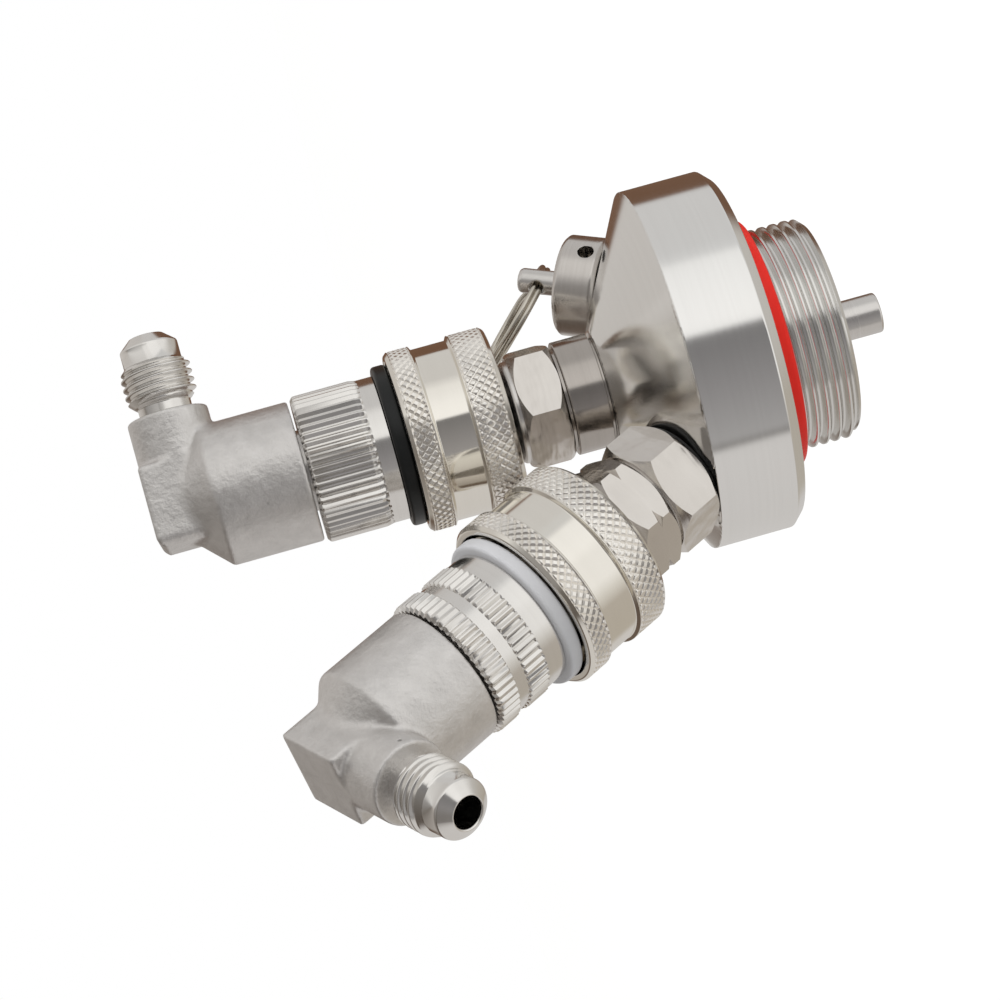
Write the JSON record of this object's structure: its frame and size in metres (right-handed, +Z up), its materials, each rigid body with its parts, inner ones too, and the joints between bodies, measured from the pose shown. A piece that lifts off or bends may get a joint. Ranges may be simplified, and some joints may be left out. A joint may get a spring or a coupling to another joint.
{
  "type": "keg coupler",
  "caption": "Keg coupler: threaded cone cap with liquid and gas ball-lock posts, quick disconnects with swivel flare elbows, and a pull-ring relief valve.",
  "frame": {"origin": "on the cap's axis where the neck thread reaches its full diameter, 0.9 mm above the neck's chamfered end", "axes": "+Z up the cap axis, from the neck thread to the liquid post; +X towards the gas port; the relief valve leans towards -X"},
  "size_m": [0.1156, 0.0572, 0.1171],
  "materials": {
    "polished_steel": "fine-turned and polished",
    "turned_steel": "turned and polished",
    "satin_steel": "satin",
    "cast_steel": "bead-blasted casting",
    "nickel_collar": "bright plated, knurled",
    "ball_steel": "polished",
    "spring_steel": "drawn wire",
    "ring_steel": "plated wire",
    "red_silicone": "smooth",
    "black_rubber": "smooth",
    "black_plastic": "moulded",
    "grey_plastic": "moulded"
  },
  "bodies": {
    "cap": {"cap_body": "polished_steel", "neck_seal": "red_silicone", "dip_tube_stub": "turned_steel", "liquid_adapter": "turned_steel", "liquid_post": "turned_steel", "liquid_post_oring": "black_rubber", "liquid_poppet_spring": "spring_steel", "gas_port_seal": "black_rubber", "gas_adapter": "turned_steel", "gas_post": "turned_steel", "gas_post_oring": "black_rubber", "gas_poppet_spring": "spring_steel", "relief_housing": "satin_steel", "relief_spring": "spring_steel"},
    "liquid_poppet": {"liquid_poppet": "turned_steel"},
    "liquid_disconnect": {"liquid_socket": "turned_steel", "liquid_lock_balls": "ball_steel", "liquid_colour_ring": "black_plastic", "liquid_cap_nut": "satin_steel", "liquid_collar_spring": "spring_steel", "liquid_valve_spring": "spring_steel"},
    "liquid_collar": {"liquid_collar": "nickel_collar"},
    "liquid_valve_pin": {"liquid_valve_pin": "turned_steel"},
    "liquid_elbow": {"liquid_elbow": "cast_steel", "liquid_elbow_oring": "black_rubber", "liquid_elbow_clip": "spring_steel"},
    "gas_poppet": {"gas_poppet": "turned_steel"},
    "gas_disconnect": {"gas_socket": "turned_steel", "gas_lock_balls": "ball_steel", "gas_colour_ring": "grey_plastic", "gas_cap_nut": "satin_steel", "gas_collar_spring": "spring_steel", "gas_valve_spring": "spring_steel"},
    "gas_collar": {"gas_collar": "nickel_collar"},
    "gas_valve_pin": {"gas_valve_pin": "turned_steel"},
    "gas_elbow": {"gas_elbow": "cast_steel", "gas_elbow_oring": "black_rubber", "gas_elbow_clip": "spring_steel"},
    "relief_stem": {"relief_stem": "turned_steel", "relief_seal": "black_rubber"},
    "pull_ring": {"pull_ring": "ring_steel"}
  },
  "joints": [
    {"name": "liquid_disconnect_swivel", "type": "hinge", "parent": "cap", "child": "liquid_disconnect", "pos_m": [0, 0, 0.0493], "axis": [0, 0, 1], "continuous": true},
    {"name": "liquid_elbow_swivel", "type": "hinge", "parent": "liquid_disconnect", "child": "liquid_elbow", "pos_m": [0, 0, 0.08321], "axis": [0, 0, 1], "continuous": true},
    {"name": "liquid_collar_pull", "type": "slide", "parent": "liquid_disconnect", "child": "liquid_collar", "axis": [0, 0, 1], "range_m": [0, 0.0038], "stiffness_N_per_m": 1500, "springref_m": -0.004, "deforming": ["liquid_collar_spring"]},
    {"name": "liquid_poppet_travel", "type": "slide", "parent": "cap", "child": "liquid_poppet", "axis": [0, 0, 1], "range_m": [-0.0008, 0.0008], "stiffness_N_per_m": 400, "deforming": ["liquid_poppet_spring"]},
    {"name": "liquid_valve_pin_travel", "type": "slide", "parent": "liquid_disconnect", "child": "liquid_valve_pin", "axis": [0, 0, 1], "range_m": [-0.0008, 0.0008], "stiffness_N_per_m": 400, "deforming": ["liquid_valve_spring"]},
    {"name": "gas_disconnect_swivel", "type": "hinge", "parent": "cap", "child": "gas_disconnect", "pos_m": [0.02888, 0, 0.04301], "axis": [0.503, 0, 0.8643], "continuous": true},
    {"name": "gas_elbow_swivel", "type": "hinge", "parent": "gas_disconnect", "child": "gas_elbow", "pos_m": [0.04593, 0, 0.07232], "axis": [0.503, 0, 0.8643], "continuous": true},
    {"name": "gas_collar_pull", "type": "slide", "parent": "gas_disconnect", "child": "gas_collar", "axis": [0.503, 0, 0.8643], "range_m": [0, 0.0038], "stiffness_N_per_m": 1500, "springref_m": -0.004, "deforming": ["gas_collar_spring"]},
    {"name": "gas_poppet_travel", "type": "slide", "parent": "cap", "child": "gas_poppet", "axis": [0.503, 0, 0.8643], "range_m": [-0.0008, 0.0008], "stiffness_N_per_m": 400, "deforming": ["gas_poppet_spring"]},
    {"name": "gas_valve_pin_travel", "type": "slide", "parent": "gas_disconnect", "child": "gas_valve_pin", "axis": [0.503, 0, 0.8643], "range_m": [-0.0008, 0.0008], "stiffness_N_per_m": 400, "deforming": ["gas_valve_spring"]},
    {"name": "relief_pull", "type": "slide", "parent": "cap", "child": "relief_stem", "axis": [-0.503, 0, 0.8643], "range_m": [0, 0.0018], "stiffness_N_per_m": 900, "springref_m": -0.003, "deforming": ["relief_spring"]},
    {"name": "pull_ring_swing", "type": "hinge", "parent": "relief_stem", "child": "pull_ring", "pos_m": [-0.02634, 0, 0.03865], "axis": [-0.8511, -0.1736, -0.4954], "range_deg": [-60, 180]}
  ],
  "couplings": [
    {"joint": "liquid_valve_pin_travel", "follows": "liquid_poppet_travel", "ratio": 1},
    {"joint": "gas_valve_pin_travel", "follows": "gas_poppet_travel", "ratio": 1}
  ]
}
